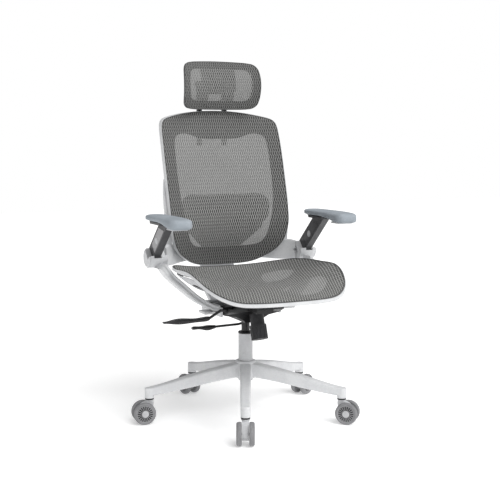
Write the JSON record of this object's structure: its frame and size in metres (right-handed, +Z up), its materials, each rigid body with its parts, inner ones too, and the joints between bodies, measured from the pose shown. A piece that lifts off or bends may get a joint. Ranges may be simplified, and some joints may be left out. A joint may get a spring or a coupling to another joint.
{
  "type": "gaming chair",
  "caption": "Mesh swivel chair with reclining back, coupled seat tilt, gas lift, flip-up armrests, sliding lumbar support, adjustable headrest and a caster star base.",
  "frame": {"origin": "on the floor, under the gas-lift axis", "axes": "+Z up; the sitter faces -Y; the sitter's right is -X"},
  "size_m": [0.7465, 0.7547, 1.204],
  "materials": {
    "white_nylon": "satin moulded",
    "white_enamel": "satin powder coat",
    "light_grey_plastic": "fine moulded grain",
    "black_plastic": "fine moulded grain",
    "black_enamel": "semi-gloss coat",
    "dark_knob_plastic": "ribbed moulded",
    "bright_steel": "bright",
    "spring_steel": "oiled",
    "grey_mesh": "open woven",
    "mid_grey_plastic": "fine moulded grain",
    "dark_grey_plastic": "satin moulded",
    "blue_grey_pu": "soft foam skin",
    "caster_grey": "satin moulded",
    "wheel_grey": "satin moulded"
  },
  "bodies": {
    "base": {"star_base": "white_nylon", "gas_tube": "white_enamel", "gas_tube_ring": "black_plastic"},
    "spindle": {"piston_rod": "bright_steel"},
    "mechanism": {"gas_cylinder": "black_enamel", "tilt_housing": "black_enamel", "housing_cover": "black_enamel", "hinge_pins": "bright_steel", "torsion_spring": "spring_steel"},
    "knob": {"tension_knob": "dark_knob_plastic"},
    "height_lever": {"height_lever_rod": "black_enamel", "height_lever_paddle": "black_plastic"},
    "tilt_lever": {"tilt_lever_rod": "black_enamel", "tilt_lever_paddle": "black_plastic"},
    "back_carrier": {"back_yoke": "white_nylon", "left_wing": "white_nylon", "right_wing": "white_nylon", "left_rear_arm": "white_nylon", "right_rear_arm": "white_nylon", "back_spine": "white_nylon", "back_frame": "white_nylon", "back_mesh": "grey_mesh", "arm_pivot_pins": "bright_steel", "arm_hub_caps": "white_nylon", "back_screws": "bright_steel"},
    "seat": {"seat_plate": "black_enamel", "seat_shell": "light_grey_plastic", "seat_frame": "white_nylon", "seat_mesh": "grey_mesh"},
    "lumbar": {"lumbar_support": "mid_grey_plastic"},
    "headrest_slider": {"headrest_posts": "mid_grey_plastic"},
    "headrest": {"headrest_bracket": "mid_grey_plastic", "headrest_frame": "mid_grey_plastic", "headrest_mesh": "grey_mesh"},
    "left_arm": {"left_arm_blade": "dark_grey_plastic", "left_arm_pad": "blue_grey_pu"},
    "right_arm": {"right_arm_blade": "dark_grey_plastic", "right_arm_pad": "blue_grey_pu"},
    "left_button": {"left_arm_button": "light_grey_plastic"},
    "right_button": {"right_arm_button": "light_grey_plastic"},
    "caster_1": {"caster_1_fork": "caster_grey", "caster_1_pins": "bright_steel"},
    "caster_1_a": {"caster_1_wheel_a": "wheel_grey"},
    "caster_1_b": {"caster_1_wheel_b": "wheel_grey"},
    "caster_2": {"caster_2_fork": "caster_grey", "caster_2_pins": "bright_steel"},
    "caster_2_a": {"caster_2_wheel_a": "wheel_grey"},
    "caster_2_b": {"caster_2_wheel_b": "wheel_grey"},
    "caster_3": {"caster_3_fork": "caster_grey", "caster_3_pins": "bright_steel"},
    "caster_3_a": {"caster_3_wheel_a": "wheel_grey"},
    "caster_3_b": {"caster_3_wheel_b": "wheel_grey"},
    "caster_4": {"caster_4_fork": "caster_grey", "caster_4_pins": "bright_steel"},
    "caster_4_a": {"caster_4_wheel_a": "wheel_grey"},
    "caster_4_b": {"caster_4_wheel_b": "wheel_grey"},
    "caster_5": {"caster_5_fork": "caster_grey", "caster_5_pins": "bright_steel"},
    "caster_5_a": {"caster_5_wheel_a": "wheel_grey"},
    "caster_5_b": {"caster_5_wheel_b": "wheel_grey"}
  },
  "joints": [
    {"name": "seat_swivel", "type": "hinge", "parent": "base", "child": "spindle", "pos_m": [0, 0, 0.2], "axis": [0, 0, 1], "continuous": true},
    {"name": "seat_height", "type": "slide", "parent": "spindle", "child": "mechanism", "axis": [0, 0, 1], "range_m": [0, 0.08]},
    {"name": "back_recline", "type": "hinge", "parent": "mechanism", "child": "back_carrier", "pos_m": [0, -0.02, 0.368], "axis": [-1, 0, 0], "range_deg": [0, 18], "stiffness_Nm_per_rad": 50, "springref_deg": -34.38},
    {"name": "seat_tilt", "type": "hinge", "parent": "mechanism", "child": "seat", "pos_m": [0, -0.14, 0.397], "axis": [-1, 0, 0], "range_deg": [0, 6.4]},
    {"name": "tension_turn", "type": "hinge", "parent": "mechanism", "child": "knob", "pos_m": [0, -0.0835, 0.362], "axis": [0, -0.3298, -0.944], "continuous": true},
    {"name": "height_lever_lift", "type": "hinge", "parent": "mechanism", "child": "height_lever", "pos_m": [-0.086, -0.068, 0.377], "axis": [0, 1, 0], "range_deg": [0, 7], "stiffness_Nm_per_rad": 0.8, "springref_deg": -17.19},
    {"name": "tilt_lever_turn", "type": "hinge", "parent": "mechanism", "child": "tilt_lever", "pos_m": [0.008, 0.032, 0.334], "axis": [0, 1, 0], "range_deg": [0, 8]},
    {"name": "lumbar_slide", "type": "slide", "parent": "back_carrier", "child": "lumbar", "axis": [0, 0.18, 0.9837], "range_m": [-0.012, 0.02]},
    {"name": "headrest_height", "type": "slide", "parent": "back_carrier", "child": "headrest_slider", "axis": [0, 0, 1], "range_m": [0, 0.05]},
    {"name": "headrest_tilt", "type": "hinge", "parent": "headrest_slider", "child": "headrest", "pos_m": [0, 0.281, 1.128], "axis": [-1, 0, 0], "range_deg": [0, 25]},
    {"name": "left_arm_flip", "type": "hinge", "parent": "back_carrier", "child": "left_arm", "pos_m": [0.2845, 0.108, 0.543], "axis": [-1, 0, 0], "range_deg": [0, 90]},
    {"name": "right_arm_flip", "type": "hinge", "parent": "back_carrier", "child": "right_arm", "pos_m": [-0.2845, 0.108, 0.543], "axis": [-1, 0, 0], "range_deg": [0, 90]},
    {"name": "left_button_press", "type": "slide", "parent": "left_arm", "child": "left_button", "axis": [-1, 0, 0], "range_m": [0, 0.003], "stiffness_N_per_m": 400, "springref_m": -0.002},
    {"name": "right_button_press", "type": "slide", "parent": "right_arm", "child": "right_button", "axis": [1, 0, 0], "range_m": [0, 0.003], "stiffness_N_per_m": 400, "springref_m": -0.002},
    {"name": "caster_1_swivel", "type": "hinge", "parent": "base", "child": "caster_1", "pos_m": [-0.14158, -0.30361, 0.09], "axis": [0, 0, 1], "continuous": true},
    {"name": "caster_1_wheel_a_roll", "type": "hinge", "parent": "caster_1", "child": "caster_1_a", "pos_m": [-0.15003, -0.32174, 0.037], "axis": [0.9063, -0.4226, 0], "continuous": true},
    {"name": "caster_1_wheel_b_roll", "type": "hinge", "parent": "caster_1", "child": "caster_1_b", "pos_m": [-0.15003, -0.32174, 0.037], "axis": [0.9063, -0.4226, 0], "continuous": true},
    {"name": "caster_2_swivel", "type": "hinge", "parent": "base", "child": "caster_2", "pos_m": [0.245, -0.22847, 0.09], "axis": [0, 0, 1], "continuous": true},
    {"name": "caster_2_wheel_a_roll", "type": "hinge", "parent": "caster_2", "child": "caster_2_a", "pos_m": [0.25963, -0.24211, 0.037], "axis": [0.682, 0.7314, 0], "continuous": true},
    {"name": "caster_2_wheel_b_roll", "type": "hinge", "parent": "caster_2", "child": "caster_2_b", "pos_m": [0.25963, -0.24211, 0.037], "axis": [0.682, 0.7314, 0], "continuous": true},
    {"name": "caster_3_swivel", "type": "hinge", "parent": "base", "child": "caster_3", "pos_m": [0.293, 0.16241, 0.09], "axis": [0, 0, 1], "continuous": true},
    {"name": "caster_3_wheel_a_roll", "type": "hinge", "parent": "caster_3", "child": "caster_3_a", "pos_m": [0.31049, 0.17211, 0.037], "axis": [-0.4848, 0.8746, 0], "continuous": true},
    {"name": "caster_3_wheel_b_roll", "type": "hinge", "parent": "caster_3", "child": "caster_3_b", "pos_m": [0.31049, 0.17211, 0.037], "axis": [-0.4848, 0.8746, 0], "continuous": true},
    {"name": "caster_4_swivel", "type": "hinge", "parent": "base", "child": "caster_4", "pos_m": [-0.06392, 0.32884, 0.09], "axis": [0, 0, 1], "continuous": true},
    {"name": "caster_4_wheel_a_roll", "type": "hinge", "parent": "caster_4", "child": "caster_4_a", "pos_m": [-0.06774, 0.34848, 0.037], "axis": [-0.9816, -0.1908, 0], "continuous": true},
    {"name": "caster_4_wheel_b_roll", "type": "hinge", "parent": "caster_4", "child": "caster_4_b", "pos_m": [-0.06774, 0.34848, 0.037], "axis": [-0.9816, -0.1908, 0], "continuous": true},
    {"name": "caster_5_swivel", "type": "hinge", "parent": "base", "child": "caster_5", "pos_m": [-0.3325, 0.04083, 0.09], "axis": [0, 0, 1], "continuous": true},
    {"name": "caster_5_wheel_a_roll", "type": "hinge", "parent": "caster_5", "child": "caster_5_a", "pos_m": [-0.35235, 0.04326, 0.037], "axis": [-0.1219, -0.9925, 0], "continuous": true},
    {"name": "caster_5_wheel_b_roll", "type": "hinge", "parent": "caster_5", "child": "caster_5_b", "pos_m": [-0.35235, 0.04326, 0.037], "axis": [-0.1219, -0.9925, 0], "continuous": true}
  ],
  "couplings": [
    {"joint": "seat_tilt", "follows": "back_recline", "ratio": 0.35}
  ]
}
